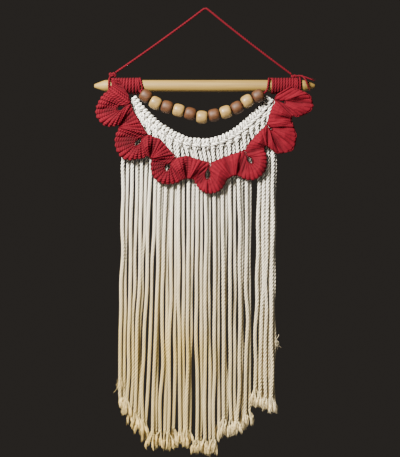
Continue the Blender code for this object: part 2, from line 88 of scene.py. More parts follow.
# The same sizes as the solids
DOWEL_LENGTH = 300.0
DOWEL_DIAMETER = 16.0
DOWEL_TIP_LENGTH = 15.0
DOWEL_CENTRE_X = -1.2
DOWEL_Z = -103.4
WRAP_PITCH = 3.7
WRAP_THICKNESS = 2.8
WRAP_INNER_RADIUS = DOWEL_DIAMETER / 2 + GAP
WRAPS = (
    # left end x, turns
    {"name": "left", "x": -128.2, "turns": 10},
    {"name": "right", "x": 89.0, "turns": 10},
)
TAIL_CROSSING = ((127.6, 1.0, -89.4), (131.5, -5.0, -90.8), (135.0, -9.6, -96.0),
                 (137.2, -10.6, -102.0), (139.6, -9.2, -107.6))
TAIL_ALONG = ((127.0, 2.0, -89.2), (135.0, 3.0, -90.8), (142.0, 2.2, -93.4), (147.6, 1.2, -95.4))
TIES = (
    # x of the ring; where the cord bends from it to the knot; the knot's centre and half sizes; the tails
    {"name": "hanger_tie_left", "ring_x": -130.2, "bend": (-129.4, 0.0, -90.0), "knot": (-126.2, 0.0, -88.3),
     "half": (5.2, 3.8, 3.4), "tails": ()},
    {"name": "hanger_tie_right", "ring_x": 128.4, "bend": (127.8, 2.4, -89.4), "knot": (120.5, 5.2, -89.8),
     "half": (4.4, 3.0, 2.6), "tails": (TAIL_CROSSING, TAIL_ALONG)},
)
TIE_CORD = 3.2
KNOT_RIDGE = 0.35
HANGER_DIAMETER = 3.0
HANGER_BEND_RADIUS = 6.0
HANGER_SAG = 1.2
HANGER_FOOT_OUT = 0.5
BEAD_LENGTH = 15.0
BEAD_DIAMETER = 17.5
BEAD_BORE_RADIUS = 2.4
BEAD_PITCH = 16.4
BEAD_PLANE_Y = -9.4
CENTRE_BEAD = (-4.8, -146.7)
LEFT_RISES = (16.0, 16.0, 16.0, 19.0, 36.0)
RIGHT_RISES = (9.0, 15.0, 21.0, 33.0, 25.0)
STRING_DIAMETER = 3.0
STRING_IN_BEAD = 0.45
STRING_PAST_END_BEAD = 0.56
STRING_WRAP_RADIUS = DOWEL_DIAMETER / 2 + 2 * GAP + STRING_DIAMETER / 2
STRING_TURN = (
    # degrees round the dowel from its back, up to its top; share of the way from the low x to the high x
    (210, 0.1), (180, 0.35), (135, 0.75), (90, 1.0), (40, 1.0), (0, 1.0), (-45, 1.0),
)
STRING_TURN_LEFT = (-84.9, -89.2)
STRING_TURN_RIGHT = (83.4, 86.4)
ARC_VERTEX = (-5.8, -174.6)
ARC_RISE = 0.00743
ARC_HALF_SPAN = 89.0
HEADS = 20
HEADER_Y = 1.5
LAYER_Y = 2.25
STRAND_ROOT = 8.0
SWING_END_Z = -212.0
UPPER_Z = -299.2
LOWER_Z = -516.8
BRUSH_LENGTH = 19.0
BUNCHES = (
    # strands; left and right x at UPPER_Z and at LOWER_Z; z of the cut at the left and at the right
    {"count": 8, "upper": (-113.6, -71.4), "lower": (-117.0, -79.6), "cut": (-541.3, -584.8)},
    {"count": 6, "upper": (-64.6, -41.5), "lower": (-70.7, -43.5), "cut": (-593.0, -594.3)},
    {"count": 4, "upper": (-36.0, -17.0), "lower": (-34.7, -20.4), "cut": (-587.5, -590.2)},
    {"count": 5, "upper": (-10.9, 11.6), "lower": (-11.6, 11.6), "cut": (-601.1, -601.1)},
    {"count": 9, "upper": (17.7, 60.5), "lower": (18.4, 59.8), "cut": (-582.1, -564.4)},
    {"count": 8, "upper": (70.7, 94.5), "lower": (66.6, 93.2), "cut": (-535.8, -545.4)},
)
FAN_PLACES = (-1.0, -0.5, 0.0, 0.5, 1.0)
LOBES = (
    # hole centre, long and short radius, slant; way of the fan and its half angle; reach at FAN_PLACES
    {"hole": (-114.9, -134.9), "r": (5.0, 3.2), "slant": 25, "way": 195, "half": 70,
     "reach": (28.8, 30.0, 34.6, 31.5, 22.4), "mouth": (-102.0, -128.9), "ribs": 12, "y": -12.4},
    {"hole": (-91.1, -180.2), "r": (6.6, 3.4), "slant": 52, "way": 225, "half": 80,
     "reach": (31.8, 31.4, 31.0, 23.2, 22.8), "mouth": (-78.9, -170.0), "ribs": 12, "y": -8.0},
    {"hole": (-51.4, -214.4), "r": (5.8, 4.0), "slant": 60, "way": 237, "half": 85,
     "reach": (23.9, 22.6, 23.2, 22.8, 26.6), "mouth": (-39.4, -201.3), "ribs": 11, "y": -7.0},
    {"hole": (3.2, -224.2), "r": (6.6, 3.8), "slant": 80, "way": 272, "half": 72,
     "reach": (19.6, 22.4, 26.2, 27.2, 26.4), "mouth": (6.4, -208.4), "ribs": 12, "y": -7.0},
    {"hole": (60.2, -204.6), "r": (5.6, 3.6), "slant": 125, "way": 315, "half": 80,
     "reach": (26.1, 27.7, 26.2, 22.6, 23.6), "mouth": (51.7, -191.8), "ribs": 12, "y": -7.0},
    {"hole": (88.4, -162.5), "r": (2.2, 2.2), "slant": 0, "way": 320, "half": 58,
     "reach": (24.3, 35.6, 41.0, 33.8, 29.0), "mouth": (83.0, -157.1), "ribs": 12, "y": -8.2},
    {"hole": (105.4, -126.5), "r": (2.2, 2.2), "slant": 0, "way": 352, "half": 50,
     "reach": (21.4, 32.6, 40.6, 34.8, 24.5), "mouth": (93.8, -123.8), "ribs": 11, "y": -11.6},
)
FIRST_RIB = {"inner": (-117.0, -96.5), "outer": (-127.4, -97.5), "y": -11.8}
NECKS = (
    # the rib between two lobes: its end on the white cords' side and its outer end
    {"inner": (-104.0, -118.3), "outer": (-126.2, -103.0), "y": -12.2},
    {"inner": (-96.6, -140.8), "outer": (-116.8, -159.1), "y": -9.4},
    {"inner": (-61.9, -176.1), "outer": (-73.8, -202.6), "y": -7.6},
    {"inner": (-26.5, -199.0), "outer": (-25.2, -229.6), "y": -7.0},
    {"inner": (27.9, -199.6), "outer": (37.4, -225.8), "y": -7.0},
    {"inner": (67.3, -172.0), "outer": (80.6, -185.4), "y": -7.6},
    {"inner": (85.8, -145.5), "outer": (115.3, -149.3), "y": -9.6},
    {"inner": (97.2, -115.6), "outer": (114.5, -105.3), "y": -10.4},
)
HOLE_TURN_MAX = 165
HOLE_TURN_PAST_FAN = 80
MOUTH_SLIT = 0.9
MOUTH_RIB = 0.62
RIB_PITCH = 6.3
FOLDS = (
    # place along the ruffle, a lobe to each unit; half width; how far forward it lies (creases back)
    (0.30, 0.14, 1.2), (0.47, 0.10, -1.6), (0.72, 0.16, 1.8), (1.00, 0.12, -2.4),
    (1.24, 0.10, 1.8), (1.41, 0.11, -2.6), (1.66, 0.14, 1.8), (1.84, 0.09, 3.6), (1.96, 0.06, -2.0),
    (2.18, 0.12, 1.0), (2.40, 0.14, -2.4), (2.66, 0.13, 1.6), (2.90, 0.10, 3.8), (3.02, 0.06, -2.0),
    (3.14, 0.09, 2.4), (3.33, 0.13, -2.6), (3.49, 0.05, 1.4), (3.76, 0.18, 3.4), (3.98, 0.06, -1.8),
    (4.10, 0.09, 1.8), (4.24, 0.08, -2.4), (4.55, 0.22, 2.8), (4.80, 0.05, -1.4), (4.98, 0.15, 2.8),
    (5.19, 0.05, -2.6), (5.30, 0.07, 2.6), (5.42, 0.07, -2.6), (5.60, 0.11, 2.4), (5.84, 0.12, 2.0),
    (6.12, 0.15, 2.6), (6.30, 0.06, -2.0), (6.46, 0.12, 2.2), (6.62, 0.07, -1.8), (6.76, 0.10, 2.2),
)
FOLD_ACROSS = (
    # share of the way from the inner edge to the outer one; share of the fold there
    (0.0, 0.2), (0.5, 1.0), (1.0, 0.2),
)

# The dowel's finer form
DOWEL_SIDES = 64
DOWEL_END = (
    # back from the end of the wood; radius there
    (0.0, 1.32), (0.15, 2.04), (0.7, 2.55), (4.0, 3.9933), (10.0, 6.2333), (13.5, 7.5), (15.0, 7.88),
    (17.0, 8.0),
)
DOWEL_RINGS = (0.8, 0.6, 0.4, 0.2, 0.0)        # shares of the way from its middle to a tip

# The beads' finer form, with rounder edges than the solids have
BEAD_END_RADIUS = 4.9
BEAD_FULLNESS = (2.8, 1.8)      # powers of the curve between the flat end and the middle
BEAD_HEIGHTS = (1.0, 0.995, 0.98, 0.95, 0.9, 0.84, 0.76, 0.66, 0.54, 0.4, 0.2, 0.0)
BEAD_SIDES = 48
BORE_EDGE = ((0.0, 1.0), (0.5, 0.1))        # out from the bore; in from the bead's end

# The ruffle's finer form
RIB_COLUMNS = (-0.5, -0.44, -0.34, -0.18, 0.0, 0.18, 0.34, 0.44)      # across a rib, in pitches
RIB_ARCH = 0.985                # share of a half circle's width in a rib's section
FRONT_ROWS = 64
BACK_ROWS = 9
FRONT_LIFT = (
    # share of the way from the inner edge to the outer one; how far in front of the ribs' plane the skin lies
    (0.0, 0.5), (0.03, 1.6), (0.28, 3.4), (0.7, 3.8), (0.96, 3.0), (1.0, 1.2),
)
BACK_LIFT = ((0.0, 1.0), (0.5, 2.4), (1.0, 1.0))      # the same behind the plane
BACK_ARCH = (0.6, 0.4)          # share of it everywhere, and more under a rib's crest
LIFT_LEAST = 1.0                # at a rib's crest
FRONT_CLEAR = -0.3              # the least in grooves and between knots
FOLD_MORE = 2.0                 # times the solid's folds
RIM = 0.5                       # how far a rib's crest passes its outer end
SCALLOP = 1.6                   # how far the rim steps in at a groove
RIB_HEIGHTS = (-0.9, 0.6)       # crests lie this far behind or in front of FRONT_LIFT
RIB_SWAY = 0.3
RIB_SWAY_LENGTH = 3.1
RIB_PHASES = (0, 6)             # radians
RIB_DEPTH = (0.45, 0.22)        # for the knotty ribs and the smooth ones, in pitches
RIB_DEPTH_MOST = 2.8
KNOTTY_UNTIL = (3.0, 3.3)       # places along the ruffle where the knots begin to go and where none is left
KNOT_BEAT = 3.3
KNOT_POWER = 0.8
KNOT_DEPTH = 1.3
KNOT_FULL_PITCH = 3.5           # narrower ribs have shallower knots
# Painted shade on the ruffle: in the grooves between ribs, between knots, in the creases of folds and in the
# sunk parts beside the holes
GROOVE_PAINTED_SHADE = (0.55, 0.45)      # how dark the painted shade in grooves gets, for the knotty ribs and the smooth ones
GROOVE_FULL_PITCH = 3
KNOT_PAINTED_SHADE = 0.45
CREASE_PAINTED_SHADE = 0.5
CREASE_FULL = 3                 # fold depth at which the painted shade in creases is darkest
RECESS = (1.0, 1.0, 1.0, 0.55, 0.7, 0.2, 0.2)         # how far each lobe is sunk beside its hole
RECESS_HALF_WIDTH = 0.36
RECESS_DEPTH = 2.2
# Painted shade in the sunk parts beside the holes
RECESS_PAINTED_SHADE = 0.45
RECESS_ACROSS = ((0.0, 0.3), (0.12, 1.0), (0.4, 0.9), (0.62, 0.0), (0.85, -0.4), (1.0, 0.0))
HOLE_WIDER = 1.3
UV_ACROSS = 0.55                # to each rib

# Thin cords along the ruffle's edges
EDGE_CORD = (1.6, 6.0)          # diameter, lay
RIM_CORD = (1.7, 6.0)
LOOP_CORD = (2.0, 7.0)
EDGE_GROOVE = 0.7
RIM_GROOVE = 0.72
EDGE_BACK = 1.2
RIM_BACK = 0.4
RIM_EVERY = 4                   # columns from one point of the rim cord to the next
LOOPS_FROM = 5.2
LOOP_COLUMNS = 12
LOOP = (
    # columns from where the loop starts; how far it lies outside the rim
    (0, -1.6), (0, 0.3), (6, 0.9), (12, 0.3), (12, -1.6),
)

# The wraps' finer form: turns beside the string slant as it does
WRAP_STEPS = 24
WRAP_CORD = WRAP_PITCH + 0.5
WRAP_LAY = 14.0
WRAP_GROOVE = 0.84
SLANTED_TURNS = 5
SLANT_TOP = 1.2
SLANT_BOTTOM = 4.2

# Ropes
PLY_SECTION = (1.0, 0.62, 0.0, 0.62)        # height of a ply's corners, from its crest round to the next; also their painted shade
THIN_STEP = 0.9
THIN_LAY = 10.5
THIN_GROOVE = 0.62
THIN_FULLER = 1.04
HANGER_POINTS = 9
TIE_STEPS = 24
TIE_SLANT = 0.4
TIE_LAY = 10.0
TIE_GROOVE = 0.7
TIE_FOOT_CORD = 3.0
KNOT_CORD = 2.9
KNOT_CORD_DRAWN = 3.2
KNOT_LAY = 9.0
KNOT_STEPS = 36
KNOT_REACH = 2.76               # of the knot's curve, in its own units
TAIL_DIAMETER = (2.9, 2.4)
TAIL_LAY = 9.5
TAIL_HAIRS = 16
TAIL_ROOTS = 0.7
TAIL_FLARE = (-1, 2)
TAIL_STRAY = 1.3

# White cords
STRAND_DIAMETER = 5.0
KNOT_DIAMETER = 5.5
STRAND_LAY = 15.0
STRAND_STEP = 1.2
STRAND_THICKNESS = (
    # from the middle of the cord, which is near its knot's bar; diameter there
    (5, KNOT_DIAMETER - 0.9), (12, KNOT_DIAMETER), (34, KNOT_DIAMETER), (46, STRAND_DIAMETER),
)
STRAND_GROOVE = ((8, 0.74), (30, 0.46))
STRAND_PHASE = 2.0
CARRIER_DIAMETER = 3.6
CARRIER_BELOW = 6.4
CARRIER_LAY = 12.0
CARRIER_POINTS = 24
WHITE_PIECES = 5
ARC_SAMPLES = 801
HALF_HEAD = (
    # across in bar widths, below the top edge, towards the back; from the leg round the carrier to the bar
    (-1.0, 14.0, -1.5), (-1.0, 9.8, -0.6), (-1.0, 6.2, -3.7), (-1.0, 3.4, -3.0), (-1.0, 2.4, -0.2),
    (-1.0, 3.4, 2.9), (-1.0, 6.4, 4.1), (-1.15, 9.4, 3.0), (-1.5, 10.8, 0.2), (-1.3, 10.3, -3.3),
)
OVER_CARRIER = 5                # a head's points nearer the edge than this vary in height
HEAD_RISES = (-0.5, 0.7)
BAR_WIDTH = 2.75
BAR_BELOW = 9.7
BAR_FALLS = (-0.3, 0.6)
BAR_Y = -4.9
SWING_SHARES = (0.2, 0.4, 0.6, 0.8, 1.0)
SWING_STRAY = (0.25, 0.3)       # across and in depth
LEG_SHARES = (0.12, 0.25, 0.38, 0.5, 0.62, 0.75, 0.88, 1.0)
LEG_BOW = 0.9
LEG_STRAY = (0.45, 0.4)         # across, at the top, and what is added on the way down
LEG_STRAY_DEEP = 0.6
CUT_VARIES = 2.6

# Brushes and tufts
BRUSH_PLIES = 4
BRUSH_LEAN = 2.0
PLY_TURNS = 0.3
PLY_DEPTH = 0.6                 # of its spread, towards the front or back
PLY_SPREAD = (2.2, 6.0)
PLY_DROP = (0.5, 0.9)           # in shares of the brush's length
PLY_MIDDLE = {"out": 0.7, "stray": 0.8, "lean": 0.3, "drop": 0.45}
PLY_TIP_STRAY = (1.0, 0.5, 0.5)
PLY_ROOT_UP = 3
PLY_ROOT_OUT = 1.2
PLY_STEP = 1.1
PLY_DIAMETER = (2.5, 2.0)
PLY_LAY = 5.0
BRUSH_HAIRS = 20
HAIR_ROOTS = 0.8
HAIR_FLARE = (-0.5, 1.6)
HAIR_STRAY = 0.9
HAIR_DROP = (1.0, 7.5)
TUFT_HAIRS = 70
TUFT_ROOTS = (1, 1, 2.5)
TUFT_STRAY = (3.4, 2.0, 3.0)
TUFT_WAY = (0.8, -1.0, -3.0)
TUFTS = ((39, 0.80), (37, 0.93), (0, 0.95))     # strand; share of the way down it
FIBRE_ROWS = 6
FIBRE_CURL = 0.6
FIBRE_CORNERS = (0.0, 2.1, 4.2)     # radians
FIBRE_THINS = 0.55

# Materials
COTTON_SPECULAR = 0.12
WOOD_SPECULAR = 0.25
WARM_HEIGHTS = (-0.18, -0.46)   # z where the painted warmer, dimmer light begins and where it is full, in metres
WARM_SIDES = (0.10, -0.06)      # x where it is weakest and where it is full
WARM_LEAST = 0.62
UV_LENGTH = 10                  # millimetres of cord to each unit of its map

random.seed(11)
np.random.seed(11)


def smooth(points, step):
    """Points evenly a step apart on a smooth curve through the given ones."""
    given = np.asarray([tuple(point) for point in points], float)
    knots = np.vstack([2 * given[0] - given[1], given, 2 * given[-1] - given[-2]])
    t = np.linspace(0, 1, 10, endpoint=False)[:, None]
    rows = []
    for a, b, c, d in zip(knots, knots[1:], knots[2:], knots[3:]):
        rows.append(0.5 * (2 * b + (c - a) * t + (2 * a - 5 * b + 4 * c - d) * t ** 2
                           + (3 * b - a - 3 * c + d) * t ** 3))
    dense = np.vstack(rows + [given[-1:]])
    length = lengths(dense)
    at = np.linspace(0, length[-1], max(3, round(length[-1] / step) + 1))
    return np.stack([np.interp(at, length, dense[:, k]) for k in range(3)], axis=1)


def lengths(path):
    """The length of a path up to each of its points."""
    return np.concatenate([[0.0], np.cumsum(np.linalg.norm(np.diff(path, axis=0), axis=1))])


def frames(path):
    """Two directions square to the path at each point, which turn no more than the path does."""
    tangent = np.gradient(path, axis=0)
    tangent /= np.linalg.norm(tangent, axis=1)[:, None]
    first = np.cross(tangent[0], (0.0, 1.0, 0.0))
    if np.linalg.norm(first) < 0.1:
        first = np.cross(tangent[0], (1.0, 0.0, 0.0))
    normal = [first / np.linalg.norm(first)]
    for way in tangent[1:]:
        turned = normal[-1] - way * normal[-1].dot(way)
        normal.append(turned / np.linalg.norm(turned))
    normal = np.array(normal)
    return normal, np.cross(tangent, normal)


class Batch:
    """Many small closed pieces gathered for one mesh."""

    def __init__(self):
        self.points = []
        self.quads = []
        self.quad_uvs = []
        # Painted shade for each corner, kept as a second map
        self.quad_painted_shade = []
        self.caps = []
        self.count = 0

    def tube(self, rings, uvs, worn=1.0):
        """rings is rows x sides x 3, uvs rows x (sides + 1) x 2, and the painted shade (1 unshaded, 0
        darkest) the same without the last.
        """
        rows, sides = rings.shape[:2]
        worn = np.repeat((np.zeros((rows, sides + 1)) + worn)[:, :, None], 2, axis=2)
        index = self.count + np.arange(rows * sides).reshape(rows, sides)
        after = np.roll(index, -1, axis=1)
        quads = np.stack([index[:-1], after[:-1], after[1:], index[1:]], axis=-1)
        for values, kept in ((uvs, self.quad_uvs), (worn, self.quad_painted_shade)):
            corners = np.stack([values[:-1, :-1], values[:-1, 1:], values[1:, 1:], values[1:, :-1]], axis=-2)
            kept.append(corners.reshape(-1, 2))
        self.points.append(rings.reshape(-1, 3))
        self.quads.append(quads.reshape(-1, 4))
        self.caps.append(index[0][::-1].tolist())
        self.caps.append(index[-1].tolist())
        self.count += rows * sides

    def build(self, name, material):
        faces = np.concatenate(self.quads).tolist() + self.caps
        mesh = bpy.data.meshes.new(name)
        mesh.from_pydata(np.concatenate(self.points) * MM, [], faces)
        caps = sum(len(cap) for cap in self.caps)
        # The second map carries the painted shade
        for layer_name, values in (("cord", self.quad_uvs), ("worn", self.quad_painted_shade)):
            layer = mesh.uv_layers.new(name=layer_name)
            corners = np.concatenate(values + [np.ones((caps, 2))]).astype(np.float32)
            layer.data.foreach_set("uv", corners.ravel())
        mesh.materials.append(material)
        mesh.shade_smooth()
        return new_object(name, mesh)


def rope(batch, path, diameter, lay, groove=0.66, plies=3, phase=0.0):
    """A laid rope along an even path; its diameter and groove are one number or one for each point."""
    normal, side = frames(path)
    along = lengths(path)
    sides = plies * len(PLY_SECTION)
    corner = np.arange(sides + 1)
    crest = np.array(PLY_SECTION)[corner % len(PLY_SECTION)][None, :]
    groove = (np.zeros(len(path)) + groove)[:, None]
    height = groove + (1 - groove) * crest[:, :-1]
    angle = 2 * math.pi * (corner[None, :-1] / sides + along[:, None] / lay) + phase
    radius = (np.zeros(len(path)) + diameter)[:, None] / 2 * height
    rings = (path[:, None, :] + (radius * np.cos(angle))[:, :, None] * normal[:, None, :]
             + (radius * np.sin(angle))[:, :, None] * side[:, None, :])
    uvs = np.zeros((len(path), sides + 1, 2))
    uvs[:, :, 0] = along[:, None] / UV_LENGTH
    uvs[:, :, 1] = (corner / sides)[None, :] * np.mean(diameter) * math.pi / UV_LENGTH
    # The ply crests also set the painted shade: the grooves between plies are painted darker
    batch.tube(rings, uvs, crest)


def fibres(batch, starts, ends, radius, wave):
    """Thin three-sided tapering hairs from each start to each end, a little wavy."""
    share = np.linspace(0, 1, FIBRE_ROWS)[None, :, None]
    paths = starts[:, None, :] + (ends - starts)[:, None, :] * share
    bend = np.random.normal(0, wave, (len(starts), 1, 3)) * np.sin(math.pi * share)
    curl = np.random.normal(0, wave * FIBRE_CURL, (len(starts), 1, 3)) * np.sin(2 * math.pi * share)
    paths = paths + bend + curl
    corner = np.stack([np.cos(FIBRE_CORNERS), np.sin(FIBRE_CORNERS), np.zeros(3)], axis=1)
    thick = radius * (1 - FIBRE_THINS * share)
    for path in paths:
        rings = path[:, None, :] + corner[None, :, :] * thick[0][:, None, :]
        uvs = np.zeros((FIBRE_ROWS, 4, 2))
        uvs[:, :, 0] = np.linspace(0, 2, FIBRE_ROWS)[:, None]
        uvs[:, :, 1] = random.random()
        batch.tube(rings, uvs)


# Materials


def node(tree, kind, inputs=None, **settings):
    made = tree.nodes.new("ShaderNode" + kind)
    for key, value in settings.items():
        setattr(made, key, value)
    for key, value in (inputs or {}).items():
        if isinstance(value, bpy.types.NodeSocket):
            tree.links.new(value, made.inputs[key])
        else:
            made.inputs[key].default_value = value
    return made


def blend_colours(tree, share, first, second, mode="MIX"):
    mix = node(tree, "Mix", data_type="RGBA", blend_type=mode)
    for socket, value in ((mix.inputs[0], share), (mix.inputs[6], first), (mix.inputs[7], second)):
        if isinstance(value, bpy.types.NodeSocket):
            tree.links.new(value, socket)
        else:
            socket.default_value = value
    return mix.outputs[2]


def new_material(name, roughness, sheen=0.0, coat=0.0):
    material = bpy.data.materials.new(name)
    material.use_nodes = True
    shader = material.node_tree.nodes["Principled BSDF"]
    shader.inputs["Roughness"].default_value = roughness
    shader.inputs["Sheen Weight"].default_value = sheen
    shader.inputs["Sheen Roughness"].default_value = 0.55
    shader.inputs["Coat Weight"].default_value = coat
    shader.inputs["Coat Roughness"].default_value = 0.18
    return material, material.node_tree, shader


def remap(tree, value, low, high, to_low=0.0, to_high=1.0):
    return node(tree, "MapRange", {"Value": value, "From Min": low, "From Max": high,
                                   "To Min": to_low, "To Max": to_high}).outputs[0]


def cotton(name, light, dark, groove, warm=None, sheen=0.0):
    """Cotton yarn: fine fibres along the cord, with painted shade in its grooves, creases and recesses,
    softly mottled.

    Where warm is given it is painted warmer and darker lower down, most at the left: painted light, for the
    light that falls off and warms towards the bottom.
    """
    material, tree, shader = new_material(name, 0.92, sheen)
    shader.inputs["Specular IOR Level"].default_value = COTTON_SPECULAR
    # The second map holds the painted shade of grooves, creases and recesses
    worn = node(tree, "SeparateXYZ", {"Vector": node(tree, "UVMap", uv_map="worn").outputs[0]}).outputs["X"]
    uv = node(tree, "UVMap", uv_map="cord").outputs[0]
    place = node(tree, "TexCoord").outputs["Object"]
    stretched = node(tree, "Mapping", {"Vector": uv, "Scale": (1.6, 16.0, 1.0)}).outputs[0]
    fibre = node(tree, "TexNoise", {"Vector": stretched, "Scale": 2.2, "Detail": 4.0,
                                    "Roughness": 0.6}).outputs[0]
    mottle = node(tree, "TexNoise", {"Vector": place, "Scale": 70.0, "Detail": 3.0}).outputs[0]
    base = blend_colours(tree, remap(tree, fibre, 0.38, 0.6), dark, light)
    # Painted light: the yarn warmer and darker lower down, as the light falls off and warms there
    if warm is not None:
        axes = node(tree, "SeparateXYZ", {"Vector": place}).outputs
        drift = node(tree, "TexNoise", {"Vector": place, "Scale": 9.0, "Detail": 1.0}).outputs[0]
        lower = remap(tree, axes["Z"], *WARM_HEIGHTS)
        left = remap(tree, axes["X"], *WARM_SIDES, WARM_LEAST, 1.0)
        share = node(tree, "Math", {0: lower, 1: left}, operation="MULTIPLY").outputs[0]
        spread = node(tree, "Math", {0: share, 1: remap(tree, drift, 0.3, 0.7, 0.85, 1.1)},
                      operation="MULTIPLY", use_clamp=True).outputs[0]
        base = blend_colours(tree, spread, base, blend_colours(tree, 1.0, base, warm, "MULTIPLY"))
    # Mottle times the painted shade; groove is how dark the painted shade gets
    shade = node(tree, "Math", {0: remap(tree, mottle, 0.3, 0.7, 0.88, 1.06),
                                1: remap(tree, worn, 0.0, 1.0, groove)}, operation="MULTIPLY").outputs[0]
    grey = node(tree, "CombineColor", {0: shade, 1: shade, 2: shade}).outputs[0]
    tree.links.new(blend_colours(tree, 1.0, base, grey, "MULTIPLY"), shader.inputs["Base Color"])
    bump = node(tree, "Bump", {"Height": fibre, "Strength": 0.5, "Distance": 0.0005})
    tree.links.new(bump.outputs[0], shader.inputs["Normal"])
    return material


def wood(name, light, dark, roughness, stretch, grain=1.0, coat=0.0):
    """Wood with grain along the axis that stretch is small on."""
    material, tree, shader = new_material(name, roughness, coat=coat)
    shader.inputs["Specular IOR Level"].default_value = WOOD_SPECULAR
    place = node(tree, "TexCoord").outputs["Object"]
    along = node(tree, "Mapping", {"Vector": place, "Scale": stretch}).outputs[0]
    streak = node(tree, "TexNoise", {"Vector": along, "Scale": 1.0, "Detail": 5.0, "Roughness": 0.6,
                                     "Distortion": 0.6}).outputs[0]
    broad = node(tree, "TexNoise", {"Vector": along, "Scale": 0.3, "Detail": 2.0}).outputs[0]
    base = blend_colours(tree, remap(tree, streak, 0.35, 0.65, 0.0, grain), light, dark)
    shade = remap(tree, broad, 0.3, 0.7, 0.86, 1.08)
    grey = node(tree, "CombineColor", {0: shade, 1: shade, 2: shade}).outputs[0]
    tree.links.new(blend_colours(tree, 1.0, base, grey, "MULTIPLY"), shader.inputs["Base Color"])
    bump = node(tree, "Bump", {"Height": streak, "Strength": 0.25, "Distance": 0.0003})
    tree.links.new(bump.outputs[0], shader.inputs["Normal"])
    return material


# The white yarn's warm tone lower down is painted light, where the light falls off and warms
white_cotton = cotton("white cotton yarn", (0.90, 0.87, 0.80, 1), (0.62, 0.59, 0.52, 1), 0.08,
                      warm=(0.78, 0.60, 0.225, 1), sheen=0.1)
red_cotton = cotton("red cotton yarn", (0.086, 0.0004, 0.0055, 1), (0.05, 0.0, 0.0025, 1), 0.42)
birch = wood("birch dowel", (0.145, 0.094, 0.021, 1), (0.092, 0.054, 0.011, 1), 0.6, (12, 260, 260), 0.7)
brown_wood = wood("brown bead wood", (0.050, 0.0185, 0.0045, 1), (0.024, 0.0076, 0.002, 1), 0.6,
                  (160, 420, 420), 0.9)
light_wood = wood("light bead wood", (0.172, 0.110, 0.032, 1), (0.104, 0.060, 0.016, 1), 0.5,
                  (160, 420, 420), 0.7, coat=0.1)


def dress(thing, nodes):
    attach(thing, "root")
    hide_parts(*nodes)
    return thing


# The hanger cord and the bead string come first


def direction(degrees):
    return Vector((math.cos(math.radians(degrees)), 0, math.sin(math.radians(degrees))))


def hanger_route():
    """Two straight falls from the bend over the nail to the knots, each with a slight sag."""
    apex = Vector((0, 0, HANGER_DIAMETER / 2 - HANGER_BEND_RADIUS))
    route = []
    for tie, side in zip(TIES, (-1, 1)):
        knot = Vector(tie["knot"])
        fall = (knot - apex).normalized()
        square = Vector((-fall.z * side, 0, fall.x * side))
        top = apex + square * HANGER_BEND_RADIUS
        knot_reach = 1 / math.hypot(fall.x / tie["half"][0], fall.z / tie["half"][2])
        foot = knot - fall * (knot_reach + KNOT_RIDGE + GAP) + square * HANGER_FOOT_OUT
        half = []
        for i in range(HANGER_POINTS):
            t = i / (HANGER_POINTS - 1)
            half.append(foot.lerp(top, t) - Vector((0, 0, HANGER_SAG * 4 * t * (1 - t))))
        route = route + half if side < 0 else route + [apex + Vector((0, 0, HANGER_BEND_RADIUS))] + half[::-1]
    return route


def bead_chain():
    """Bead centres and axes, from the middle bead out along both rises of the string."""
    centres = [Vector((CENTRE_BEAD[0], BEAD_PLANE_Y, CENTRE_BEAD[1]))]
    for rise in LEFT_RISES:
        centres.insert(0, centres[0] + BEAD_PITCH * direction(180 - rise))
    for rise in RIGHT_RISES:
        centres.append(centres[-1] + BEAD_PITCH * direction(rise))
    axes = []
    for i in range(len(centres)):
        before = centres[max(i - 1, 0)]
        after = centres[min(i + 1, len(centres) - 1)]
        axes.append((after - before).normalized())
    return centres, axes


def string_turn(x_low, x_high):
    """The string's turn round the dowel, from its lower front over the top to the back."""
    turn = []
    for degrees, share in STRING_TURN:
        angle = math.radians(degrees)
        x = x_low + (x_high - x_low) * share
        turn.append((x, STRING_WRAP_RADIUS * math.cos(angle), DOWEL_Z + STRING_WRAP_RADIUS * math.sin(angle)))
    return turn


def string_route(centres, axes):
    knots = string_turn(*STRING_TURN_LEFT)[::-1]
    for i, (centre, axis) in enumerate(zip(centres, axes)):
        before = STRING_PAST_END_BEAD if i == 0 else STRING_IN_BEAD
        after = STRING_PAST_END_BEAD if i == len(centres) - 1 else STRING_IN_BEAD
        knots += [centre - axis * BEAD_LENGTH * before, centre + axis * BEAD_LENGTH * after]
    return knots + string_turn(*STRING_TURN_RIGHT)


def bead_mesh(index, centre, axis, material):
    """A barrel bead turned about its bore, with rounded edges."""
    half, radius = BEAD_LENGTH / 2, BEAD_DIAMETER / 2
    upper = [(BEAD_BORE_RADIUS + out, half - inward) for out, inward in BORE_EDGE]
    for up in BEAD_HEIGHTS:
        out = (1 - up ** BEAD_FULLNESS[0]) ** (1 / BEAD_FULLNESS[1])
        upper.append((BEAD_END_RADIUS + (radius - BEAD_END_RADIUS) * out, half * up))
    profile = upper + [(out, -up) for out, up in upper[-2::-1]]
    square = axis.cross(Vector((0, 1, 0))).normalized()
    other = axis.cross(square)
    rings = np.zeros((len(profile), BEAD_SIDES, 3))
    for row, (out, height) in enumerate(profile):
        for side in range(BEAD_SIDES):
            angle = -2 * math.pi * side / BEAD_SIDES
            way = square * math.cos(angle) + other * math.sin(angle)
            rings[row, side] = centre + axis * height + way * out
    bore = np.stack([rings[-1], rings[0]])
    batch = Batch()
    for skin in (rings, bore):
        batch.tube(skin, np.zeros((len(skin), BEAD_SIDES + 1, 2)))
    batch.caps = []
    return batch.build("bead_%02d_turned" % index, material)


def thin_cord(name, solid, path, diameter):
    batch = Batch()
    rope(batch, path, diameter * THIN_FULLER, THIN_LAY, groove=THIN_GROOVE)
    return dress(batch.build(name, red_cotton), [solid])


hanger_path = smooth(hanger_route(), THIN_STEP)
hanger = thin_cord("hanger_cord_laid", "hanger_cord", hanger_path, HANGER_DIAMETER)

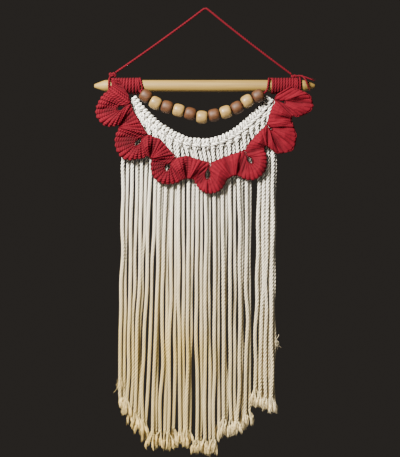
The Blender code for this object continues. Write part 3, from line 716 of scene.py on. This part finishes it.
bead_centres, bead_axes = bead_chain()
for i, (centre, axis) in enumerate(zip(bead_centres, bead_axes)):
    brown = i % 2 == 0
    bead = bead_mesh(i + 1, centre, axis, brown_wood if brown else light_wood)
    dress(bead, ["bead_%02d" % (i + 1)])

string_path = smooth(string_route(bead_centres, bead_axes), THIN_STEP)
bead_string = thin_cord("bead_string_laid", "bead_string", string_path, STRING_DIAMETER)


# Dowel


def build_dowel():
    half = DOWEL_LENGTH / 2
    right = [(half - back, radius) for back, radius in DOWEL_END]
    right += [((half - DOWEL_TIP_LENGTH) * share, DOWEL_DIAMETER / 2) for share in DOWEL_RINGS]
    profile = right + [(-x, radius) for x, radius in right[-2::-1]]
    angle = 2 * math.pi * np.arange(DOWEL_SIDES) / DOWEL_SIDES
    rings = np.zeros((len(profile), DOWEL_SIDES, 3))
    for row, (x, radius) in enumerate(profile):
        rings[row, :, 0] = DOWEL_CENTRE_X + x
        rings[row, :, 1] = -radius * np.cos(angle)
        rings[row, :, 2] = DOWEL_Z - radius * np.sin(angle)
    batch = Batch()
    batch.tube(rings[::-1][:, ::-1], np.zeros((len(profile), DOWEL_SIDES + 1, 2)))
    return batch.build("dowel_birch", birch)


dress(build_dowel(), ["dowel"])


# White cords: lark's heads on a carrier and the long fringe


def arc_frame():
    """Places at even lengths along the header's top edge: the point, the way along and the way down."""
    x = np.linspace(-ARC_HALF_SPAN, ARC_HALF_SPAN, ARC_SAMPLES)
    length = np.concatenate([[0.0], np.cumsum(np.hypot(np.diff(x), np.diff(ARC_RISE * x * x)))])

    def place(share):
        at = float(np.interp(share * length[-1], length, x))
        tilt = 2 * ARC_RISE * at
        down = Vector((tilt, 0, -1)).normalized()
        edge = Vector((ARC_VERTEX[0] + at, HEADER_Y, ARC_VERTEX[1] + ARC_RISE * at * at))
        return edge, Vector((-down.z, 0, down.x)), down

    return place


def strand_rows():
    """Upper x, lower x and cut of each strand, bunch by bunch."""
    for bunch in BUNCHES:
        spans = bunch["upper"], bunch["lower"], bunch["cut"]
        last = bunch["count"] - 1
        for i in range(bunch["count"]):
            yield [left + (right - left) * i / last for left, right in spans]


def leg(index, row, root):
    """Points of a strand from under its knot to the top of its brush."""
    upper_x, lower_x, cut_z = row
    layer = HEADER_Y + (-LAYER_Y if index % 2 == 0 else LAYER_Y)
    slope = (lower_x - upper_x) / (LOWER_Z - UPPER_Z)
    swing_x = upper_x + slope * (SWING_END_Z - UPPER_Z)
    end_z = cut_z + BRUSH_LENGTH + random.gauss(0, CUT_VARIES)
    points = []
    for t in SWING_SHARES:
        ease = t * t * (3 - 2 * t)
        points.append((root.x + (swing_x - root.x) * ease + random.gauss(0, SWING_STRAY[0]),
                       layer + random.gauss(0, SWING_STRAY[1]), root.z + (SWING_END_Z - root.z) * t))
    bow = random.gauss(0, LEG_BOW)
    for t in LEG_SHARES:
        z = SWING_END_Z + (end_z - SWING_END_Z) * t
        stray = random.gauss(0, LEG_STRAY[0] + LEG_STRAY[1] * t) + bow * math.sin(math.pi * t)
        points.append((upper_x + slope * (z - UPPER_Z) + stray, layer + random.gauss(0, LEG_STRAY_DEEP), z))
    return points


def brush(batch, end, cut_z):
    """The unravelled end of a strand: its plies part, hang in loose waves and fray into hairs."""
    end = np.array(end)
    lean = np.random.normal(0, BRUSH_LEAN)
    turn = np.random.uniform(0, 2 * math.pi)
    for ply in range(BRUSH_PLIES):
        angle = turn + 2 * math.pi * ply / BRUSH_PLIES + np.random.normal(0, PLY_TURNS)
        out = np.array([math.cos(angle), PLY_DEPTH * math.sin(angle), 0.0])
        spread = np.random.uniform(*PLY_SPREAD)
        drop = (end[2] - cut_z) * np.random.uniform(*PLY_DROP)
        middle = (end + out * spread * PLY_MIDDLE["out"] + np.random.normal(0, PLY_MIDDLE["stray"], 3)
                  + (lean * PLY_MIDDLE["lean"], 0, -PLY_MIDDLE["drop"] * drop))
        tip = end + out * spread + np.random.normal(0, 1.0, 3) * PLY_TIP_STRAY + (lean, 0, -drop)
        path = smooth([end + out + (0, 0, PLY_ROOT_UP), end + out * PLY_ROOT_OUT, middle, tip], PLY_STEP)
        rope(batch, path, np.linspace(*PLY_DIAMETER, len(path)), PLY_LAY, plies=2)
        starts = path[-5] + np.random.normal(0, HAIR_ROOTS, (BRUSH_HAIRS, 3)) * (1, 1, 2)
        flare = out * np.random.uniform(*HAIR_FLARE, (BRUSH_HAIRS, 1))
        stray = np.random.normal(0, HAIR_STRAY, (BRUSH_HAIRS, 3))
        fall = np.array((0, 0, 1)) * np.random.uniform(*HAIR_DROP, (BRUSH_HAIRS, 1))
        fibres(batch, starts, tip + flare + stray - fall, radius=0.4, wave=0.6)


def tuft(batch, place):
    """Loose hairs pulled out of a strand part of the way up."""
    starts = np.array(place) + np.random.normal(0, 1.0, (TUFT_HAIRS, 3)) * TUFT_ROOTS
    ends = starts + np.random.normal(0, 1.0, (TUFT_HAIRS, 3)) * TUFT_STRAY + TUFT_WAY
    fibres(batch, starts, ends, radius=0.42, wave=0.9)


def lay_carrier(batch, place):
    points = []
    for share in np.linspace(0, 1, CARRIER_POINTS):
        edge, _, down = place(share)
        points.append(edge + down * CARRIER_BELOW)
    rope(batch, smooth(points, STRAND_STEP), CARRIER_DIAMETER, CARRIER_LAY)


def lay_strand(batch, left, knot, right):
    """One cord from the end of its left leg through its knot to the end of its right leg."""
    path = smooth(left[::-1] + knot + right, STRAND_STEP)
    along = lengths(path)
    from_middle = np.abs(along - along[-1] / 2)
    thick = np.interp(from_middle, *zip(*STRAND_THICKNESS))
    groove = np.interp(from_middle, *zip(*STRAND_GROOVE))
    rope(batch, path, thick, STRAND_LAY, groove=groove, phase=random.uniform(0, STRAND_PHASE))


def down_leg(points, share):
    """The point that lies a share of the way down a leg."""
    height = points[0][2] + (points[-1][2] - points[0][2]) * share
    upward = np.array(points)[::-1]
    return [float(np.interp(height, upward[:, 2], upward[:, k])) for k in (0, 1)] + [height]


def lark_head(edge, along, down):
    """Points of one lark's head, from its left leg round the carrier, across the bar and back."""
    rise = random.uniform(*HEAD_RISES)
    half = [(t * BAR_WIDTH, n - rise * (n < OVER_CARRIER), y) for t, n, y in HALF_HEAD]
    bar = (0.0, BAR_BELOW + random.uniform(*BAR_FALLS), BAR_Y)
    knot = half + [bar] + [(-t, n, y) for t, n, y in half[::-1]]
    return [tuple(edge + along * t + down * n + Vector((0, y, 0))) for t, n, y in knot]


def build_white():
    place = arc_frame()
    rows = list(strand_rows())
    legs = []
    for i, row in enumerate(rows):
        edge, _, down = place((i + 0.5) / (2 * HEADS))
        legs.append(leg(i, row, edge + down * STRAND_ROOT))
    for piece in range(WHITE_PIECES):
        batch = Batch()
        for head in range(piece * HEADS // WHITE_PIECES, (piece + 1) * HEADS // WHITE_PIECES):
            knot = lark_head(*place((head + 0.5) / HEADS))
            lay_strand(batch, legs[2 * head], knot, legs[2 * head + 1])
            for i in (2 * head, 2 * head + 1):
                brush(batch, legs[i][-1], rows[i][2])
                for strand, share in TUFTS:
                    if strand == i:
                        tuft(batch, down_leg(legs[i], share))
        if piece == 0:
            lay_carrier(batch, place)
        dress(batch.build("white_cords_%d" % (piece + 1), white_cotton), ["header_fringe"])


build_white()


# Red ruffle


def flat(point, y):
    return Vector((point[0], y, point[1]))


def lobe_ribs(lobe, before, after):
    """Ribs of one lobe as (inner end, outer end), between the necks before and after it."""
    hole = flat(lobe["hole"], lobe["y"])
    mouth = flat(lobe["mouth"], lobe["y"])
    across = (mouth - hole).normalized().cross(Vector((0, 1, 0))) * MOUTH_SLIT
    long_radius, short_radius = lobe["r"]
    hole_turn = min(HOLE_TURN_MAX, lobe["half"] + HOLE_TURN_PAST_FAN)
    fan = []
    for i in range(lobe["ribs"]):
        t = 2 * i / (lobe["ribs"] - 1) - 1
        turned_by = math.radians(lobe["way"] + hole_turn * t - lobe["slant"])
        inner = (hole + long_radius * math.cos(turned_by) * direction(lobe["slant"])
                 + short_radius * math.sin(turned_by) * direction(lobe["slant"] + 90))
        reach = float(np.interp(t, FAN_PLACES, lobe["reach"]))
        fan.append((inner, hole + reach * direction(lobe["way"] + lobe["half"] * t)))
    first = (mouth + across, before[1].lerp(fan[0][1], MOUTH_RIB))
    last = (mouth - across, after[1].lerp(fan[-1][1], MOUTH_RIB))
    return [first] + fan + [last]


def ribs_between(start, end):
    """The rib at the start and evenly spaced ones before the rib at the end."""
    widest = max((end[0] - start[0]).length, (end[1] - start[1]).length)
    count = max(1, round(widest / RIB_PITCH))
    return [(start[0].lerp(end[0], i / count), start[1].lerp(end[1], i / count)) for i in range(count)]


def ruffle_ribs():
    """All rib crests as (inner end, outer end), and each one's place, from the left wrap to the right."""
    single_ribs = (FIRST_RIB, *NECKS)
    start, *necks = [(flat(rib["inner"], rib["y"]), flat(rib["outer"], rib["y"])) for rib in single_ribs]
    groups = [ribs_between(start, necks[0])]
    for lobe, before, after in zip(LOBES, necks, necks[1:]):
        fan = lobe_ribs(lobe, before, after)
        groups.append(ribs_between(before, fan[0]) + fan[:-1] + ribs_between(fan[-1], after))
    ribs = [rib for group in groups for rib in group] + [necks[-1]]
    places = [number - 1 + i / len(group) for number, group in enumerate(groups) for i in range(len(group))]
    return ribs, places + [len(LOBES)]


def folds_at(places, shares):
    """How far forward the ruffle lies, a row for each place along it and a column for each share across."""
    depth = np.zeros(len(places))
    for crest, half_width, forward in FOLDS:
        away = np.minimum(1.0, np.abs(places - crest) / half_width)
        depth += forward * (1 + np.cos(math.pi * away)) / 2
    across, weights = zip(*FOLD_ACROSS)
    return FOLD_MORE * depth[:, None] * np.interp(shares, across, weights)[None, :]


def build_wrap(batch, wrap):
    """Turns of cord flattened on the dowel, the first and the last lying square to it.

    Those next to the string slant the way its turn does.
    """
    turns = wrap["turns"]
    radius = WRAP_INNER_RADIUS + WRAP_PITCH / 2
    helix = []
    for k in range(turns * WRAP_STEPS + 1):
        turn = k / WRAP_STEPS
        angle = 2 * math.pi * turn
        x = wrap["x"] + WRAP_PITCH * (0.5 + min(max(turn - 0.5, 0), turns - 1))
        low = (1 - math.cos(angle)) / 2
        if wrap["name"] == "left":
            x += max(0.0, 1 - (turns - turn) / SLANTED_TURNS) * (SLANT_TOP + (SLANT_BOTTOM - SLANT_TOP) * low)
        else:
            x -= max(0.0, 1 - turn / SLANTED_TURNS) * SLANT_TOP * (1 - low)
        helix.append((x, radius * math.sin(angle), DOWEL_Z + radius * math.cos(angle)))
    rope(batch, smooth(helix, 1.1), WRAP_CORD, WRAP_LAY, groove=WRAP_GROOVE)
    points = batch.points[-1]
    out = np.hypot(points[:, 1], points[:, 2] - DOWEL_Z)
    pressed = WRAP_INNER_RADIUS + (out - WRAP_INNER_RADIUS) * WRAP_THICKNESS / WRAP_PITCH
    points[:, 1] *= pressed / out
    points[:, 2] = DOWEL_Z + (points[:, 2] - DOWEL_Z) * pressed / out


def strip_columns(ribs):
    """Where the strip's columns lie, counted in ribs: close together at the grooves between ribs."""
    columns = (np.arange(len(ribs))[:, None] + np.array(RIB_COLUMNS)[None, :]).ravel()
    return columns[(columns >= 0) & (columns <= len(ribs) - 1)]


def rib_pitches(ends, at, shares):
    """How wide the ribs are, a row for each of the strip's columns and a column for each share across."""
    spacing = np.linalg.norm(np.diff(ends, axis=0), axis=2)
    pitch = (np.vstack([spacing[:1], spacing]) + np.vstack([spacing, spacing[-1:]])) / 2
    number = np.arange(len(ends))
    return (np.interp(at, number, pitch[:, 0])[:, None] * (1 - shares)
            + np.interp(at, number, pitch[:, 1])[:, None] * shares)


def build_strip(batch, ribs, places):
    """The knotted strip as one closed skin, with small knots along the ribs of the left lobes."""
    number = np.arange(len(ribs))
    at = strip_columns(ribs)
    nearest = np.rint(at).astype(int)
    arch = np.sqrt(1 - (2 * RIB_ARCH * (at - nearest)) ** 2)
    place = np.interp(at, number, places)
    ends = np.array([[tuple(inner), tuple(outer)] for inner, outer in ribs])
    inner, outer = [np.stack([np.interp(at, number, ends[:, k, axis]) for axis in range(3)], axis=1)
                    for k in (0, 1)]
    beside_hole = np.sqrt(np.clip(1 - np.abs(place % 1 - 0.5) / RECESS_HALF_WIDTH, 0, 1))
    along = outer - inner
    reach = np.linalg.norm(along, axis=1)
    way = along / reach[:, None]
    inner = inner + way * (HOLE_WIDER * beside_hole)[:, None]
    reach = reach - HOLE_WIDER * beside_hole + RIM - SCALLOP * (1 - arch)
    knotty = np.interp(place, KNOTTY_UNTIL, (1.0, 0.0))[:, None]
    shares = np.linspace(0, 1, FRONT_ROWS)
    far = reach[:, None] * shares[None, :]
    pitch = rib_pitches(ends, at, shares)
    height = np.random.uniform(*RIB_HEIGHTS, len(ribs))[nearest][:, None]
    phase = np.random.uniform(*RIB_PHASES, len(ribs))[nearest][:, None]
    sway = RIB_SWAY * np.sin(far / RIB_SWAY_LENGTH + phase)
    depth = np.minimum(pitch * (RIB_DEPTH[1] + (RIB_DEPTH[0] - RIB_DEPTH[1]) * knotty), RIB_DEPTH_MOST)
    beat = np.abs(np.cos(math.pi * (far / KNOT_BEAT + 0.5 * (nearest[:, None] % 2)))) ** KNOT_POWER
    knots = KNOT_DEPTH * knotty * (1 - beat) * np.minimum(1.0, pitch / KNOT_FULL_PITCH)
    folds = folds_at(place, shares)
    sunk = np.array(RECESS)[np.clip(place.astype(int), 0, len(RECESS) - 1)]
    sunk = (sunk * beside_hole)[:, None] * np.interp(shares, *zip(*RECESS_ACROSS))[None, :]
    front = np.maximum(np.interp(shares, *zip(*FRONT_LIFT))[None, :] + folds + height * arch[:, None] + sway
                       - RECESS_DEPTH * sunk, LIFT_LEAST)
    front = np.maximum(front - depth * (1 - arch)[:, None] - knots, FRONT_CLEAR)
    skin = inner[:, None, :] + way[:, None, :] * far[:, :, None]
    skin[:, :, 1] -= front
    back_shares = np.linspace(1, 0, BACK_ROWS)
    back_far = reach[:, None] * back_shares[None, :]
    back = inner[:, None, :] + way[:, None, :] * back_far[:, :, None]
    back[:, :, 1] += (np.interp(back_shares, *zip(*BACK_LIFT))[None, :]
                      * (BACK_ARCH[0] + BACK_ARCH[1] * arch[:, None])
                      - np.maximum(folds_at(place, back_shares), 0))
    rings = np.concatenate([skin, back], axis=1)
    uvs = np.zeros((len(at), rings.shape[1] + 1, 2))
    uvs[:, :FRONT_ROWS, 0] = far / UV_LENGTH
    uvs[:, FRONT_ROWS:-1, 0] = back_far / UV_LENGTH
    uvs[:, :, 1] = at[:, None] * UV_ACROSS
    # Painted shade: darker in the grooves, between knots, in the creases of folds and in the sunk parts
    # beside the holes
    worn = np.ones((len(at), rings.shape[1] + 1))
    worn[:, :FRONT_ROWS] = (1 - (GROOVE_PAINTED_SHADE[1] + (GROOVE_PAINTED_SHADE[0] - GROOVE_PAINTED_SHADE[1]) * knotty)
                            * (1 - arch)[:, None] * np.minimum(1.0, pitch / GROOVE_FULL_PITCH)
                            - KNOT_PAINTED_SHADE * knotty * (1 - beat)
                            - CREASE_PAINTED_SHADE * np.clip(-folds / CREASE_FULL, 0, 1)
                            - RECESS_PAINTED_SHADE * np.maximum(sunk, 0))
    batch.tube(rings, uvs, np.clip(worn, 0, 1))
    return skin, place


def build_rims(batch, skin, place):
    """The thin cord round the left lobes' rim, and the small loops along that of the last two lobes."""
    rim = skin[:, -2] + (0, RIM_BACK, 0)
    left = smooth(rim[place < KNOTTY_UNTIL[0]][::RIM_EVERY], THIN_STEP)
    rope(batch, left, *RIM_CORD, groove=RIM_GROOVE, plies=2)
    last = np.flatnonzero(place > LOOPS_FROM)
    for first in range(last[0], last[-1] - LOOP_COLUMNS, LOOP_COLUMNS):
        middle = skin[first + LOOP_COLUMNS // 2]
        out = middle[-2] - middle[-8]
        out = out / np.linalg.norm(out)
        loop = [rim[first + column] + out * reach for column, reach in LOOP]
        rope(batch, smooth(loop, 0.8), *LOOP_CORD, groove=RIM_GROOVE, plies=2)


def build_ruffle():
    ribs, places = ruffle_ribs()
    batch = Batch()
    skin, place = build_strip(batch, ribs, places)
    build_rims(batch, skin, place)
    edge = [inner + Vector((0, EDGE_BACK, 0)) for inner, _ in ribs]
    rope(batch, smooth(edge, 1.1), *EDGE_CORD, groove=EDGE_GROOVE)
    return batch.build("ruffle_knotted", red_cotton)


def build_wraps():
    batch = Batch()
    for wrap in WRAPS:
        build_wrap(batch, wrap)
    return batch.build("ruffle_ends_wound", red_cotton)


dress(build_ruffle(), ["ruffle"])
dress(build_wraps(), ["ruffle"])


# Ties of the hanger


def build_tie(tie):
    """A ring of cord round the dowel, a small knot over it, and its loose tails."""
    batch = Batch()
    radius = WRAP_INNER_RADIUS + TIE_CORD / 2
    ring = []
    for k in range(TIE_STEPS + 1):
        angle = 2 * math.pi * k / TIE_STEPS
        ring.append((tie["ring_x"] + TIE_SLANT * math.sin(angle), radius * math.sin(angle),
                     DOWEL_Z + radius * math.cos(angle)))
    rope(batch, smooth(ring, 1.0), TIE_CORD, TIE_LAY, groove=TIE_GROOVE)
    centre = Vector(tie["knot"])
    wide, deep, high = [half - KNOT_CORD / 2 for half in tie["half"]]
    knot = []
    for k in range(KNOT_STEPS + 1):
        t = 2 * math.pi * k / KNOT_STEPS
        knot.append((centre.x + wide / KNOT_REACH * (math.sin(t) + 2 * math.sin(2 * t)),
                     centre.y - deep / KNOT_REACH * (math.cos(t) - 2 * math.cos(2 * t)),
                     centre.z - high * math.sin(3 * t)))
    rope(batch, smooth(knot, 0.8), KNOT_CORD_DRAWN, KNOT_LAY, groove=TIE_GROOVE)
    foot = (tie["ring_x"], 0, DOWEL_Z + radius)
    rope(batch, smooth([foot, tie["bend"], centre], 0.8), TIE_FOOT_CORD, KNOT_LAY)
    for tail in tie["tails"]:
        path = smooth(tail, THIN_STEP)
        rope(batch, path[:-3], np.linspace(*TAIL_DIAMETER, len(path) - 3), TAIL_LAY)
        way = path[-1] - path[-4]
        way /= np.linalg.norm(way)
        starts = path[-5] + np.random.normal(0, TAIL_ROOTS, (TAIL_HAIRS, 3))
        ends = (path[-1] + way * np.random.uniform(*TAIL_FLARE, (TAIL_HAIRS, 1))
                + np.random.normal(0, TAIL_STRAY, (TAIL_HAIRS, 3)))
        fibres(batch, starts, ends, radius=0.35, wave=0.3)
    return batch.build(tie["name"] + "_knotted", red_cotton)


for tie in TIES:
    dress(build_tie(tie), [tie["name"]])


# Floor and lights


def make_stage():
    mesh = bpy.data.meshes.new("floor")
    corners = [(x * FLOOR_HALF, y * FLOOR_HALF, FLOOR_Z) for x, y in ((-1, -1), (1, -1), (1, 1), (-1, 1))]
    mesh.from_pydata(corners, [], [(0, 1, 2, 3)])
    floor_material, _, shader = new_material("pale floor", 0.8)
    shader.inputs["Base Color"].default_value = (0.72, 0.70, 0.67, 1)
    mesh.materials.append(floor_material)
    new_object("floor", mesh)
    for light in LIGHTS:
        data = bpy.data.lights.new(light["name"], "AREA")
        data.size = light["size"]
        data.energy = light["power"]
        data.color = light["colour"]
        lamp = new_object(light["name"], data)
        lamp.location = light["place"]
        aim(lamp, LIT_POINT)
    world = bpy.data.worlds.new("studio")
    bpy.context.scene.world = world
    world.use_nodes = True
    world.node_tree.nodes["Background"].inputs[0].default_value = SURROUND
    world.node_tree.nodes["Background"].inputs[1].default_value = 1.0


make_stage()
